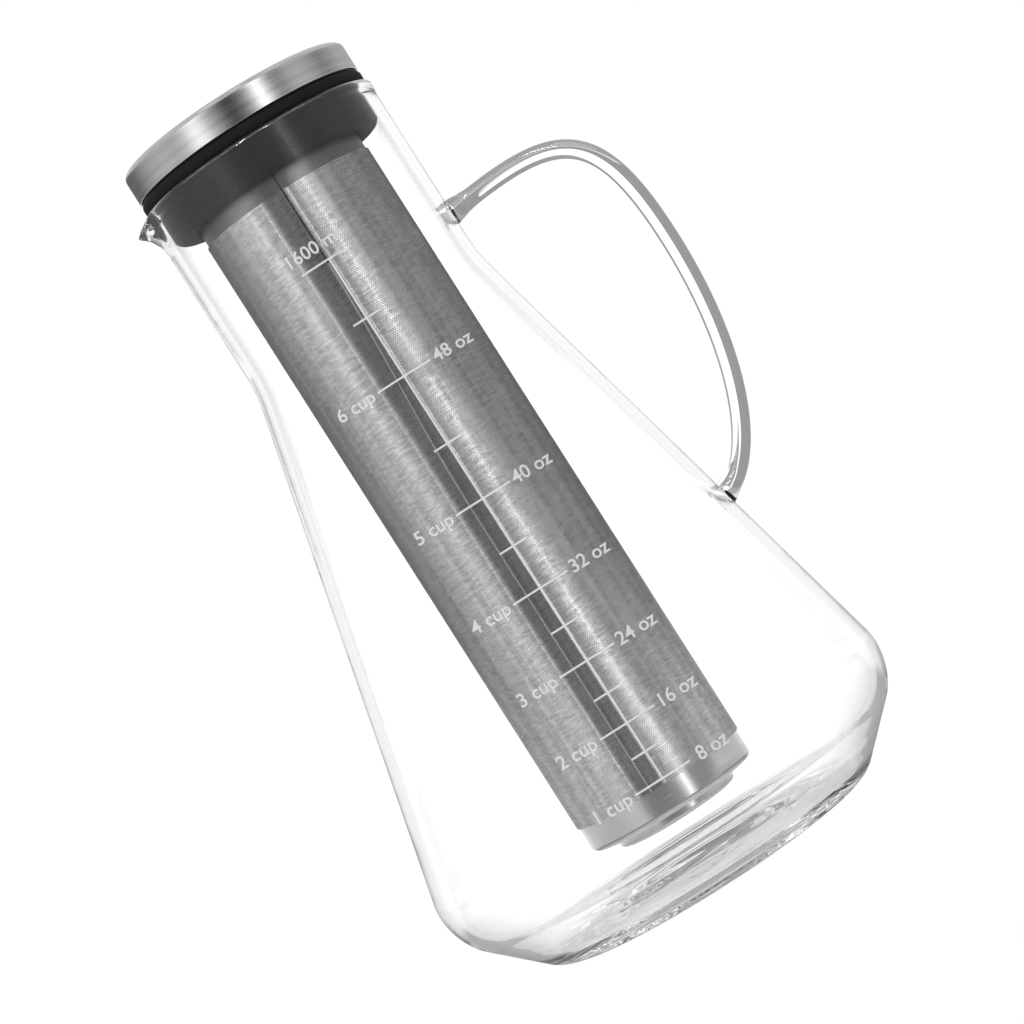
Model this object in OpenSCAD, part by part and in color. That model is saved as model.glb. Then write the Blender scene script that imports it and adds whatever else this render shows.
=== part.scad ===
// Cold brew pitcher: a glass carafe with a welded rod handle, a silicone collar in its neck,
// a perforated steel filter that hangs in the collar, and a steel-capped lid.
// Origin at the centre of the base, on the table. +Z up, handle towards +X, spout towards -X,
// measuring scale towards -Y. Millimetres.

/* [Glass body] */
// Height of the glass, from the table to its rim
glass_h = 240; // [220:1:280]
// Outside diameter of the neck
neck_d = 74; // [70:0.5:84]
// Length of the straight neck, down from the rim to the cone
neck_len = 58; // [50:1:66]
// Outside diameter at the belly, before its edge is rounded
belly_d = 149.6; // [136:0.2:165]
// Height of the belly's edge over the table
belly_h = 23; // [20:0.5:30]
// Outside diameter at the foot, before its edge is rounded
foot_d = 102; // [92:1:112]
// Thickness of the glass wall
wall = 2.8; // [2.2:0.1:3.4]
// Thickness of the glass floor, at its rim
floor_t = 4; // [3.4:0.1:5]
// Radius where the foot turns up from the table
foot_round = 10; // [6:0.5:12]
// Radius round the belly
belly_round = 19; // [12:0.5:22]
// Radius where the cone flows into the neck
shoulder_round = 40; // [20:1:50]
// Diameter of the shallow hollow under the base
punt_d = 70; // [50:1:76]
// Depth of that hollow
punt_h = 2; // [1:0.1:2.4]

/* [Spout] */
// How far the lip stands out from the neck
spout_reach = 5; // [3.5:0.1:6.5]
// Width of the lip where it leaves the neck
spout_w = 15; // [14:0.5:20]
// How far below the rim the spout starts to swell out of the neck
spout_depth = 10.4; // [8:0.2:14]
// How far the lip's tip hangs below the rim
spout_dip = 3; // [1:0.1:4]
// Thickness of the lip
spout_wall = 2.2; // [1.6:0.1:2.6]

/* [Handle] */
// Height of the upper weld
handle_top_h = 195.5; // [186:0.5:215]
// Height of the lower weld
handle_low_h = 87; // [76:0.5:100]
// Height where the grip stands furthest out
handle_grip_h = 157; // [146:0.5:168]
// How far the grip's middle line stands out from the neck
handle_out = 48; // [38:0.5:56]
// Thickness of the rod, seen from the side
rod_t = 5.5; // [4.5:0.1:8]
// Width of the rod, seen from behind
rod_w = 6.2; // [5:0.1:14]
// Rise of the upper arm where it leaves the neck, in degrees
arm_rise = 8; // [0:0.5:14]
// Pull of the upper bend along the arm
arm_pull = 39; // [28:0.5:42]
// Pull of the upper bend up from the grip
grip_pull_up = 39; // [28:0.5:42]
// Pull of the lower bend down from the grip
grip_pull_down = 38; // [28:0.5:44]
// Pull of the lower bend out of the lower weld
foot_pull = 15; // [10:0.5:22]
// How much each weld swells past the rod, all round
weld_swell = 2.4; // [1:0.1:3.5]
// Length over which a weld swells
weld_len = 8; // [4:0.5:12]
// How deep the welds sink into the glass
weld_sink = 1.5; // [1:0.1:1.8]

/* [Measuring scale] */
// One cup, in millilitres
cup_ml = 236.6; // [200:0.2:260]
// What the coffee bed takes up below the first cup, in millilitres
bed_ml = 175; // [100:1:240]
// Distance of the fill line below the rim
fill_drop = 40.4; // [36:0.2:50]
// Stroke of the rule and its ticks
stroke = 0.55; // [0.4:0.05:1]
// Length of a cup tick
cup_tick = 17; // [12:0.5:24]
// Length of a half-cup tick
half_tick = 8.5; // [5:0.5:12]
// Length of the fill line
fill_tick = 13.6; // [8:0.2:20]
// How far the fill line's middle lies beside the rule
fill_shift = -2; // [-5:0.5:5]
// Turn of the scale away from straight ahead, in degrees
scale_turn = 1.3; // [-20:0.1:20]
// Thickness of the enamel
enamel_t = 0.1; // [0.05:0.01:0.2]

/* [Collar] */
// Thickness of the flange that sits on the rim
flange_t = 3.8; // [3:0.1:6]
// How far the flange's edge stays inside the neck's outside
flange_inset = 0.7; // [0:0.1:1.2]
// Radius of the flange's edge
flange_round = 1.5; // [0.5:0.1:1.7]
// Length of the sleeve down the neck
sleeve_len = 11.7; // [10:0.1:20]
// Gap between the sleeve and the glass
sleeve_gap = 0.4; // [0.3:0.05:0.8]
// Height of the sleeve's lower chamfer
chamfer_h = 0.8; // [0.4:0.1:4]
// Width of the sleeve's lower chamfer
chamfer_w = 0.8; // [0.4:0.1:4]
// Depth of the seat for the filter's rim
seat_depth = 2.2; // [2:0.1:2.6]

/* [Filter] */
// Outside diameter of the perforated tube
filter_d = 53.6; // [46:0.2:55]
// Thickness of the filter's sheet
sheet_t = 0.5; // [0.4:0.05:0.8]
// Width of the lap where the tube's rolled sheet is joined
seam_w = 7.8; // [5:0.2:12]
// How far the lap stands out from the tube
seam_t = 0.3; // [0.2:0.05:0.5]
// Turn of the lap away from straight ahead, in degrees
seam_turn = -6.2; // [-30:0.2:30]
// Gap between the filter's base and the glass floor
floor_gap = 13.6; // [8:0.2:30]
// How far the top band shows below the collar
band_show = 4.9; // [2:0.1:10]
// How far the base cup shows below the tube
cup_show = 8.5; // [3:0.1:14]
// Rounding of the base cup's edge
cup_round = 2; // [1:0.1:2.4]
// Diameter of the step pressed into the base
step_d = 37.8; // [25:0.2:42]
// Height of that step
step_h = 3.6; // [2:0.1:6]
// How far the tube laps over the band and the cup
tube_lap = 6; // [3:0.5:10]
// Gap between lapped sheets
lap_gap = 0.05; // [0.02:0.01:0.1]
// Width of the rim that hangs in the collar
rim_w = 3.4; // [2.6:0.1:4.5]
// Thickness of the rim's rolled edge
rim_roll = 1.5; // [1:0.1:1.6]
// Gap between the filter and the collar
filter_gap = 0.3; // [0.25:0.05:0.6]

/* [Lid] */
// Height of the steel cap
cap_h = 9.2; // [7:0.1:14]
// How far the cap's side stays inside the neck's outside
cap_inset = 0.8; // [0:0.1:1.4]
// Thickness of the cap's steel
cap_t = 0.8; // [0.5:0.1:1.2]
// Radius of the cap's top edge
cap_round = 1.8; // [1.3:0.1:3]
// Gap between the cap's lower edge and the collar
cap_gap = 0.2; // [0.1:0.05:0.4]
// Length of the plug in the filter's mouth
plug_len = 10; // [7:0.5:16]
// Gap between the plug and the filter
plug_gap = 1.6; // [1.2:0.1:3]
// Height of the seal ring round the plug
seal_h = 3; // [2:0.1:4]
// How deep the seal ring sits in the plug
seal_seat = 1.2; // [0.8:0.1:2]
// Gap between the seal ring and the filter
seal_gap = 0.3; // [0.25:0.05:0.6]
// Distance of the seal ring above the plug's lower end
seal_rise = 3; // [1.5:0.1:4]

/* [Hidden] */
$fn = 128;
// Straight steps in a rounded corner of a profile
arc_steps = 10;
// Rings along each half of the handle, and corners round a ring
rod_steps = 18;
rod_sides = 16;
// Gap that keeps the enamel and the collar off the glass
film_gap = 0.03;
// How far cutting shapes run past what they cut
over = 1;
// Halvings when a fill height is looked for
level_steps = 24;

// Radii and heights of the glass
neck_r = neck_d / 2;
neck_z = glass_h - neck_len;
rim_round = wall / 2;
// Heights of the stack that closes the neck
flange_z = glass_h + film_gap;
collar_top = flange_z + flange_t;
sleeve_z = glass_h - sleeve_len;
seat_z = collar_top - seat_depth;
cap_top = collar_top + cap_gap + cap_h;
// Radii of the filter, from outside to inside
tube_r = filter_d / 2;
band_r = tube_r - sheet_t - lap_gap;
mouth_r = band_r - sheet_t;
rim_r = band_r + rim_w;
// Heights of the filter
base_z = floor_t + floor_gap;
cup_z = base_z + step_h;
tube_low = cup_z + cup_show;
tube_top = sleeve_z - band_show;
// Radii of the collar and the lid
flange_r = neck_r - flange_inset;
sleeve_r = neck_r - wall - sleeve_gap;
bore_r = tube_r + seam_t + filter_gap;
cap_r = neck_r - cap_inset;
plug_r = mouth_r - plug_gap;
seal_r = mouth_r - seal_gap;
plug_z = collar_top - plug_len;
seal_z = plug_z + seal_rise;

// Plane geometry
function unit(v) = v / norm(v);
function left_of(v) = [-v.y, v.x];

// Corner b of the path a-b-c after its two sides move left by d1 and d2
function moved_corner(a, b, c, d1, d2) =
    let (n1 = left_of(unit(b - a)), n2 = left_of(unit(c - b)), k = n1 * n2)
    b + (n1 * (d1 - k * d2) + n2 * (d2 - k * d1)) / (1 - k * k);

// Points of an arc of radius r that rounds corner b of the path a-b-c
function rounded(a, b, c, r) =
    r <= 0 ? [b] :
    let (u = unit(a - b), v = unit(c - b), half = acos(u * v) / 2)
    let (mid = b + unit(u + v) * r / sin(half), from = b + u * r / tan(half) - mid)
    let (to = b + v * r / tan(half) - mid)
    let (start = atan2(from.y, from.x), turn = atan2(to.y, to.x) - start)
    let (sweep = turn > 180 ? turn - 360 : turn < -180 ? turn + 360 : turn)
    [for (i = [0 : arc_steps]) let (t = start + sweep * i / arc_steps) mid + r * [cos(t), sin(t)]];

// Open path through corners, each rounded by its own radius
function smooth_path(corners, radii) =
    let (last = len(corners) - 1)
    [for (i = [0 : last])
        each i == 0 || i == last ? [corners[i]]
            : rounded(corners[i - 1], corners[i], corners[i + 1], radii[i])];

// Closed outline through corners, each rounded by its own radius
function smooth_loop(corners, radii) =
    let (n = len(corners))
    [for (i = [0 : n - 1])
        each rounded(corners[(i + n - 1) % n], corners[i], corners[(i + 1) % n], radii[i])];

// A path read backwards
function backwards(path) = [for (i = [len(path) - 1 : -1 : 0]) path[i]];

// Radius of an upward path of [radius, height] points at height z
function radius_at(path, z, i = 1) =
    i == len(path) - 1 || path[i].y >= z
        ? path[i - 1].x + (path[i].x - path[i - 1].x) * (z - path[i - 1].y) / (path[i].y - path[i - 1].y)
        : radius_at(path, z, i + 1);

module lathe(outline) {
    rotate_extrude(convexity = 8)
        polygon(outline);
}

// Glass: corners of the outside from the foot to the rim, and the inside that follows them
outer_corners = [[punt_d / 2, 0], [foot_d / 2, 0], [belly_d / 2, belly_h], [neck_r, neck_z],
    [neck_r, glass_h - rim_round]];
inner_foot = moved_corner(outer_corners[0], outer_corners[1], outer_corners[2], floor_t, wall);
inner_belly = moved_corner(outer_corners[1], outer_corners[2], outer_corners[3], wall, wall);
inner_shoulder = moved_corner(outer_corners[2], outer_corners[3], outer_corners[4], wall, wall);
inner_corners = [[0, floor_t], inner_foot, inner_belly, inner_shoulder, [neck_r - wall, glass_h - rim_round]];
outer_path = smooth_path(outer_corners, [0, foot_round, belly_round, shoulder_round, 0]);
inner_path = smooth_path(inner_corners,
    [0, foot_round - wall, belly_round - wall, shoulder_round + wall, 0]);
// The upward stretches, from the first point above the table or the floor
outer_side = [for (i = [1 : len(outer_path) - 1]) outer_path[i]];
inner_side = [for (i = [1 : len(inner_path) - 1]) inner_path[i]];
rim_arc = [for (i = [1 : arc_steps - 1])
    let (t = 180 * i / arc_steps)
    [neck_r - rim_round, glass_h - rim_round] + rim_round * [cos(t), sin(t)]];
punt_ball_r = (punt_d * punt_d / 4 + punt_h * punt_h) / (2 * punt_h);
punt_arc = [for (i = [0 : arc_steps - 1])
    let (r = punt_d / 2 * i / arc_steps)
    [r, punt_h - punt_ball_r + sqrt(punt_ball_r * punt_ball_r - r * r)]];

// Spout: an upright cone that swells out of the neck, cut off by a plane that dips outwards
spout_slope = spout_reach / (spout_depth - spout_dip);
spout_in = (spout_w * spout_w / 4 - spout_reach * spout_reach) / (2 * spout_reach);
spout_x = neck_r - spout_in;
spout_r = spout_in + spout_reach + spout_slope * spout_dip;
spout_skin = spout_wall / cos(atan(spout_slope));
// Height of the lip where it leaves the rounded rim
lip_z = glass_h - rim_round / 2;

module spout_cone(r_rim, top) {
    apex = glass_h - r_rim / spout_slope;
    translate([-spout_x, 0, apex])
        cylinder(h = top - apex, r1 = 0, r2 = spout_slope * (top - apex));
}

module above_lip() {
    translate([-neck_r, 0, lip_z])
        rotate([0, -atan((lip_z - glass_h + spout_dip) / spout_reach), 0])
            translate([-neck_d, -neck_d / 2, 0])
                cube([2 * neck_d, neck_d, neck_d]);
}

module glass_body() {
    color([0.86, 0.93, 0.95, 0.4])
        difference() {
            union() {
                lathe(concat(punt_arc, outer_path, rim_arc, backwards(inner_path)));
                difference() {
                    spout_cone(spout_r, lip_z);
                    translate([0, 0, glass_h - neck_len])
                        cylinder(h = neck_len + 2 * over, r = neck_r - wall / 2);
                    above_lip();
                }
            }
            spout_cone(spout_r - spout_skin, glass_h + over);
        }
}

// Handle: two curves meet at the grip, and the welds stand square on the neck and the cone
arm_start = [neck_r - weld_sink, handle_top_h];
grip = [neck_r + handle_out, handle_grip_h];
cone_out = unit([neck_z - belly_h, belly_d / 2 - neck_r]);
foot_end = [radius_at(outer_side, handle_low_h), handle_low_h] - weld_sink * cone_out;
arm_curve = [arm_start, arm_start + arm_pull * [cos(arm_rise), sin(arm_rise)],
    grip + [0, grip_pull_up], grip];
foot_curve = [grip, grip - [0, grip_pull_down], foot_end + foot_pull * cone_out, foot_end];

function curve_point(c, t) =
    pow(1 - t, 3) * c[0] + 3 * t * pow(1 - t, 2) * c[1] + 3 * t * t * (1 - t) * c[2] + pow(t, 3) * c[3];
function curve_way(c, t) =
    unit(pow(1 - t, 2) * (c[1] - c[0]) + 2 * t * (1 - t) * (c[2] - c[1]) + t * t * (c[3] - c[2]));

// Each station of the rod: its middle and its direction in the side view
function stations(c, last) =
    [for (i = [0 : last]) let (t = i / rod_steps) [curve_point(c, t), curve_way(c, t)]];
rod_line = concat(stations(arm_curve, rod_steps - 1), stations(foot_curve, rod_steps));

// Swell of the rod at point p, near the weld at either end
function swell_near(p, end) = weld_swell * pow(max(0, 1 - norm(p - end) / (weld_len + weld_sink)), 2);
function swell(p) = swell_near(p, arm_start) + swell_near(p, foot_end);

module glass_handle() {
    points = [for (s = rod_line, k = [0 : rod_sides - 1])
        let (a = 360 * k / rod_sides, grow = swell(s[0]))
        let (p = s[0] + left_of(s[1]) * (rod_t / 2 + grow) * cos(a))
        [p.x, (rod_w / 2 + grow) * sin(a), p.y]];
    rings = len(rod_line);
    sides = [for (i = [0 : rings - 2], k = [0 : rod_sides - 1])
        let (a = i * rod_sides + k, b = i * rod_sides + (k + 1) % rod_sides)
        each [[a, a + rod_sides, b], [b, a + rod_sides, b + rod_sides]]];
    start = [for (k = [0 : rod_sides - 1]) k];
    end = [for (k = [rod_sides - 1 : -1 : 0]) (rings - 1) * rod_sides + k];
    color([0.86, 0.93, 0.95, 0.5])
        polyhedron(points, concat([start], sides, [end]));
}

// Measuring scale: the volume below height z, and the height that a volume fills
function frustum(p, q) = PI * (q.y - p.y) * (p.x * p.x + p.x * q.x + q.x * q.x) / 3;
function volume_below(z, i = 1) =
    i == len(inner_side) || inner_side[i - 1].y >= z ? 0
        : let (top = min(z, inner_side[i].y))
        frustum(inner_side[i - 1], [radius_at(inner_side, top), top]) + volume_below(z, i + 1);
function fill_height(ml, low = floor_t, high = glass_h, n = level_steps) =
    let (mid = (low + high) / 2)
    n == 0 ? mid
        : volume_below(mid) < 1000 * ml ? fill_height(ml, mid, high, n - 1)
        : fill_height(ml, low, mid, n - 1);

fill_z = glass_h - fill_drop;
cups = floor((volume_below(fill_z) / 1000 - bed_ml) / cup_ml);
cup_levels = [for (i = [1 : cups]) fill_height(bed_ml + i * cup_ml)];
half_levels = concat([for (i = [1 : cups - 1]) fill_height(bed_ml + (i + 0.5) * cup_ml)],
    [(cup_levels[cups - 1] + fill_z) / 2]);
// Half the height of a stroke
stroke_h = stroke / 2;

// Strip of enamel over the glass between two heights, as an outline of radius and height
function enamel(z1, z2) =
    let (edge = concat([[radius_at(outer_side, z1), z1]],
        [for (p = outer_side) if (p.y > z1 && p.y < z2) p], [[radius_at(outer_side, z2), z2]]))
    concat([for (p = edge) p + [film_gap, 0]], backwards([for (p = edge) p + [film_gap + enamel_t, 0]]));

module tick(z, width, shift = 0) {
    turn = width / radius_at(outer_side, z) * 180 / PI;
    off = shift / radius_at(outer_side, z) * 180 / PI;
    rotate([0, 0, off - turn / 2])
        rotate_extrude(angle = turn)
            polygon(enamel(z - stroke_h, z + stroke_h));
}

module scale_print() {
    color([0.95, 0.95, 0.95])
        rotate([0, 0, scale_turn - 90]) {
            rotate([90, 0, 0])
                linear_extrude(stroke, center = true)
                    polygon(enamel(cup_levels[0], fill_z));
            for (z = cup_levels)
                tick(z, cup_tick);
            for (z = half_levels)
                tick(z, half_tick);
            tick(fill_z, fill_tick, fill_shift);
        }
}

// Collar: flange on the rim, sleeve down the neck, stepped bore for the filter
module silicone_collar() {
    corners = [[bore_r, sleeve_z], [sleeve_r - chamfer_w, sleeve_z], [sleeve_r, sleeve_z + chamfer_h],
        [sleeve_r, flange_z], [flange_r, flange_z], [flange_r, collar_top],
        [rim_r + filter_gap, collar_top], [rim_r + filter_gap, seat_z], [bore_r, seat_z]];
    color([0.1, 0.1, 0.1])
        lathe(smooth_loop(corners, [0, 0, 0, 0, flange_round, flange_round, 0, 0, 0]));
}

// Filter: perforated tube lapped over a plain top band and a pressed base cup
module filter_tube() {
    tube_h = tube_top - tube_low;
    seam_arc = seam_w / tube_r * 180 / PI;
    color([0.62, 0.62, 0.63])
        translate([0, 0, tube_low])
            difference() {
                union() {
                    cylinder(h = tube_h, r = tube_r);
                    rotate([0, 0, seam_turn - 90 - seam_arc / 2])
                        rotate_extrude(angle = seam_arc)
                            square([tube_r + seam_t, tube_h]);
                }
                translate([0, 0, -over])
                    cylinder(h = tube_h + 2 * over, r = tube_r - sheet_t);
            }
}

module filter_top_band() {
    low = tube_top - tube_lap;
    roll = rim_roll / 2;
    color([0.7, 0.7, 0.71])
        union() {
            lathe([[mouth_r, low], [band_r, low], [band_r, seat_z], [rim_r - roll, seat_z],
                [rim_r - roll, seat_z + sheet_t], [mouth_r, seat_z + sheet_t]]);
            rotate_extrude()
                translate([rim_r - roll, seat_z + roll])
                    circle(roll);
        }
}

module filter_base_cup() {
    top = tube_low + tube_lap;
    step_r = step_d / 2;
    outside = [[0, base_z], [step_r, base_z], [step_r, cup_z], [band_r, cup_z], [band_r, top]];
    inside = concat([[0, base_z + sheet_t]],
        [for (i = [1 : 3]) moved_corner(outside[i - 1], outside[i], outside[i + 1], sheet_t, sheet_t)],
        [[band_r - sheet_t, top]]);
    inner_round = cup_round - sheet_t;
    color([0.7, 0.7, 0.71])
        lathe(concat(smooth_path(outside, [0, inner_round, 0, cup_round, 0]),
            backwards(smooth_path(inside, [0, inner_round - sheet_t, 0, inner_round, 0]))));
}

// Lid: steel cap pressed over a plastic core, whose plug carries the seal ring
module lid_cap() {
    low = collar_top + cap_gap;
    corners = [[cap_r, low], [cap_r, cap_top], [0, cap_top], [0, cap_top - cap_t],
        [cap_r - cap_t, cap_top - cap_t], [cap_r - cap_t, low]];
    color([0.78, 0.78, 0.78])
        lathe(smooth_loop(corners, [0, cap_round, 0, 0, cap_round - cap_t, 0]));
}

module lid_core() {
    core_r = cap_r - cap_t - lap_gap;
    core_top = cap_top - cap_t;
    groove_r = plug_r - seal_seat;
    corners = [[0, plug_z], [plug_r, plug_z], [plug_r, seal_z], [groove_r, seal_z],
        [groove_r, seal_z + seal_h], [plug_r, seal_z + seal_h], [plug_r, collar_top],
        [core_r, collar_top], [core_r, core_top], [0, core_top]];
    color([0.12, 0.12, 0.12])
        lathe(smooth_loop(corners, [0, seal_seat, 0, 0, 0, 0, 0, 0, cap_round - cap_t, 0]));
}

module lid_seal_ring() {
    inner = plug_r - seal_seat + lap_gap;
    low = seal_z + lap_gap;
    high = seal_z + seal_h - lap_gap;
    lip = (high - low) / 3;
    color([0.85, 0.85, 0.85])
        lathe(smooth_loop([[inner, low], [seal_r, low], [seal_r, high], [inner, high]], [0, lip, lip, 0]));
}

glass_body();
glass_handle();
scale_print();
silicone_collar();
filter_tube();
filter_top_band();
filter_base_cup();
lid_cap();
lid_core();
lid_seal_ring();
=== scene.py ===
"""Cold brew pitcher: a glass carafe with its handle and printed scale, the silicone collar,
the etched steel filter and the steel-capped lid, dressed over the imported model. Metres, +Z up."""

import math

import bpy
from mathutils import Matrix, Vector


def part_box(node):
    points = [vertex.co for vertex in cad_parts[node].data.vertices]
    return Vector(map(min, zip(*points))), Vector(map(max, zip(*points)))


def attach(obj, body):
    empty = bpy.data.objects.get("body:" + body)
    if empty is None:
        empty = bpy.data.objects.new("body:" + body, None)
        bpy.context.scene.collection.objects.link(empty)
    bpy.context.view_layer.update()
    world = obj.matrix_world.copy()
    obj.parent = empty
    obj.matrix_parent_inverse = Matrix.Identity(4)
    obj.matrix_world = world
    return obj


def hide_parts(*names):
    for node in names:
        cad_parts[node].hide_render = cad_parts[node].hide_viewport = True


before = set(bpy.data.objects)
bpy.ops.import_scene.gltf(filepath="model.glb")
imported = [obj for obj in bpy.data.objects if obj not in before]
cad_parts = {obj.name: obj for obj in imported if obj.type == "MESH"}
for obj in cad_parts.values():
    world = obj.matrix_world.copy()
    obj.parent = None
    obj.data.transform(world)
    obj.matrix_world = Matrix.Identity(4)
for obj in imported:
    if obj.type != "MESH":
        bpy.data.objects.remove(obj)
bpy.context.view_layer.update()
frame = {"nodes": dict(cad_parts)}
nodes = frame["nodes"]

MM = 0.001
TURN = 2 * math.pi

# Glass carafe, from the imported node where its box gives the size
GLASS_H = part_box("glass_body")[1].z
NECK_R = 37.0 * MM
NECK_Z = GLASS_H - 58.0 * MM
BELLY_R = 74.8 * MM
BELLY_Z = 23.0 * MM
FOOT_R = 51.0 * MM
WALL = 2.8 * MM
FLOOR_T = 4.0 * MM
FOOT_ROUND = 10.0 * MM
BELLY_ROUND = 19.0 * MM
SHOULDER_ROUND = 40.0 * MM
PUNT_R = 35.0 * MM
PUNT_H = 2.0 * MM
BEAD = 0.35 * MM
BEAD_BLEND = 6.0 * MM
BEAD_ROUND = 3.0 * MM
RIM_ROUND = 0.49 * WALL
GLASS_CUT = 4.0 * MM
# Height of the fill line
FILL_Z = GLASS_H - 40.4 * MM
# Pouring lip, towards -X
LIP_REACH = 5.0 * MM
LIP_DIP = 3.0 * MM
LIP_DEPTH = 10.4 * MM
LIP_HALF_W = 7.5 * MM
LIP_SPREAD = 1.6
LIP_FLARE = 1.3
# Handle
ROD_T = 5.5 * MM
ROD_W = 6.2 * MM
WELD_SINK = 1.5 * MM
WELD_SWELL = 2.4 * MM
WELD_LEN = 8.0 * MM
ARM_Z = 195.5 * MM
ARM_RISE = math.radians(8)
ARM_PULL = 39.0 * MM
GRIP_Z = 157.0 * MM
GRIP_PULL_UP = 39.0 * MM
GRIP_PULL_DOWN = 38.0 * MM
FOOT_Z = 87.0 * MM
FOOT_PULL = 15.0 * MM
# Sheet steel and fits
SHEET = 0.5 * MM
SHEET_EDGE = 0.08 * MM
LAP_GAP = 0.05 * MM
CLEARANCE = 0.3 * MM
# Lap of the filter tube's sheet
LAP_W = 7.8 * MM
LAP_TURN = math.radians(-6.2)
# Weld of its sheet, which bends aside above this height, and the slit above the weld
WELD_TURN = math.radians(-6.6)
WELD_BEND_Z = 120.0 * MM
SLIT_HALF_W = 0.22 * MM
# Holes in its sheet: their pitch in a row, and in pitches the rows' spacing and the soft edge of a hole
HOLE_PITCH = 0.7 * MM
HOLE_ROWS = 0.866
HOLE_EDGE = 0.36, 0.2
# Steps round a turned piece and in a rounded corner, along the handle and round it, and round the filter tube
ROUND_STEPS = 256
CORNER_STEPS = 6
ROD_STEPS = 40
OVAL_STEPS = 12
TUBE_STEPS = 360
# Points closer than these are one point: of an outline, on a seam, of a printed word
SAME_POINT = 0.01 * MM
SEAM_MERGE = 0.002 * MM
PRINT_MERGE = 0.001 * MM


# Modelling by hand

def deselect():
    bpy.ops.object.select_all(action="DESELECT")


def edit(piece):
    """Opens one piece alone in edit mode, with nothing selected in it."""
    deselect()
    piece.select_set(True)
    bpy.context.view_layer.objects.active = piece
    bpy.ops.object.mode_set(mode="EDIT")
    bpy.ops.mesh.select_mode(type="VERT")
    bpy.ops.mesh.select_all(action="DESELECT")


def close_edit():
    bpy.ops.object.mode_set(mode="OBJECT")


def select_points(piece, wanted):
    """In edit mode: selects only the points whose place passes the test."""
    bpy.ops.mesh.select_all(action="DESELECT")
    bpy.ops.object.mode_set(mode="OBJECT")
    for vertex in piece.data.vertices:
        vertex.select = wanted(vertex.co)
    bpy.ops.object.mode_set(mode="EDIT")


def corner_cut(before, corner, after, radius):
    """How far along both sides a corner is cut so that its rounding has this radius."""
    a = (Vector(before[:2]) - Vector(corner[:2])).normalized()
    b = (Vector(after[:2]) - Vector(corner[:2])).normalized()
    return radius / math.tan(a.angle(b) / 2)


def outline(name, corners, closed):
    """A profile in the XZ plane: one point is extruded from corner to corner, each (r, z, rounding) and maybe
    the rounding's steps, and the corners are then rounded."""
    deselect()
    bpy.ops.mesh.primitive_plane_add(size=WALL)
    piece = bpy.context.object
    piece.name = piece.data.name = name
    bpy.ops.object.mode_set(mode="EDIT")
    bpy.ops.mesh.select_mode(type="VERT")
    bpy.ops.mesh.select_all(action="SELECT")
    bpy.ops.mesh.merge(type="CENTER")
    bpy.ops.transform.translate(value=(corners[0][0], 0, corners[0][1]))
    for last, here in zip(corners, corners[1:]):
        step = (here[0] - last[0], 0, here[1] - last[1])
        bpy.ops.mesh.extrude_vertices_move(TRANSFORM_OT_translate={"value": step})

    def near(*points):
        return lambda co: any(math.hypot(co.x - p[0], co.z - p[1]) < SAME_POINT for p in points)

    if closed:
        select_points(piece, near(corners[0], corners[-1]))
        bpy.ops.mesh.edge_face_add()
    count = len(corners)
    for i, corner in enumerate(corners):
        if corner[2] and (closed or 0 < i < count - 1):
            cut = corner_cut(corners[i - 1], corner, corners[(i + 1) % count], corner[2])
            select_points(piece, near(corner))
            steps = corner[3] if len(corner) > 3 else CORNER_STEPS
            bpy.ops.mesh.bevel(affect="VERTICES", offset=cut, segments=steps, profile=0.5)
    close_edit()
    return piece


def cut_long_edges(piece, longest):
    """Splits every profile edge that is longer than this."""
    edit(piece)
    bpy.ops.mesh.select_mode(type="EDGE")
    close_edit()
    to_cut = {}
    for edge in piece.data.edges:
        a, b = (piece.data.vertices[i].co for i in edge.vertices)
        cuts = int((a - b).length / longest)
        if cuts:
            to_cut.setdefault(cuts, []).append((a + b) / 2)
    for cuts, middles in to_cut.items():
        for edge in piece.data.edges:
            a, b = (piece.data.vertices[i].co for i in edge.vertices)
            edge.select = any(((a + b) / 2 - m).length < PRINT_MERGE for m in middles)
        bpy.ops.object.mode_set(mode="EDIT")
        bpy.ops.mesh.subdivide(number_cuts=cuts)
        bpy.ops.mesh.select_all(action="DESELECT")
        close_edit()


def turn(name, corners, closed=False, longest=None, steps=ROUND_STEPS):
    """A turned piece: the profile is spun round the axis, and its seam and poles are closed."""
    piece = outline(name, corners, closed)
    if longest:
        cut_long_edges(piece, longest)
    edit(piece)
    bpy.ops.mesh.select_all(action="SELECT")
    bpy.ops.mesh.spin(steps=steps, angle=TURN, center=(0, 0, 0), axis=(0, 0, 1))
    bpy.ops.mesh.select_all(action="SELECT")
    bpy.ops.mesh.remove_doubles(threshold=SEAM_MERGE)
    bpy.ops.mesh.normals_make_consistent(inside=False)
    close_edit()
    return piece


def smooth(piece, angle=35):
    """Smooth shading that keeps corners sharper than this many degrees, led by the larger faces."""
    deselect()
    piece.select_set(True)
    bpy.context.view_layer.objects.active = piece
    bpy.ops.object.shade_smooth_by_angle(angle=math.radians(angle))
    bpy.ops.object.modifier_add(type="WEIGHTED_NORMAL")
    piece.modifiers[-1].keep_sharp = True
    bpy.ops.object.modifier_apply(modifier=piece.modifiers[-1].name)
    return piece


def lap_edges(tube_r):
    """Bearings of the two edges of the filter tube's lap; 0 is straight ahead."""
    half = LAP_W / tube_r / 2
    return LAP_TURN - half, LAP_TURN + half


def moved_corner(before, corner, after, d1, d2):
    """A corner of a path after its two sides move to the left by d1 and d2."""
    a, b, c = (Vector(p[:2]) for p in (before, corner, after))
    u, v = (b - a).normalized(), (c - b).normalized()
    m, n = Vector((-u.y, u.x)), Vector((-v.y, v.x))
    k = m.dot(n)
    return b + (m * (d1 - k * d2) + n * (d2 - k * d1)) / (1 - k * k)


# Finishes

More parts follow.
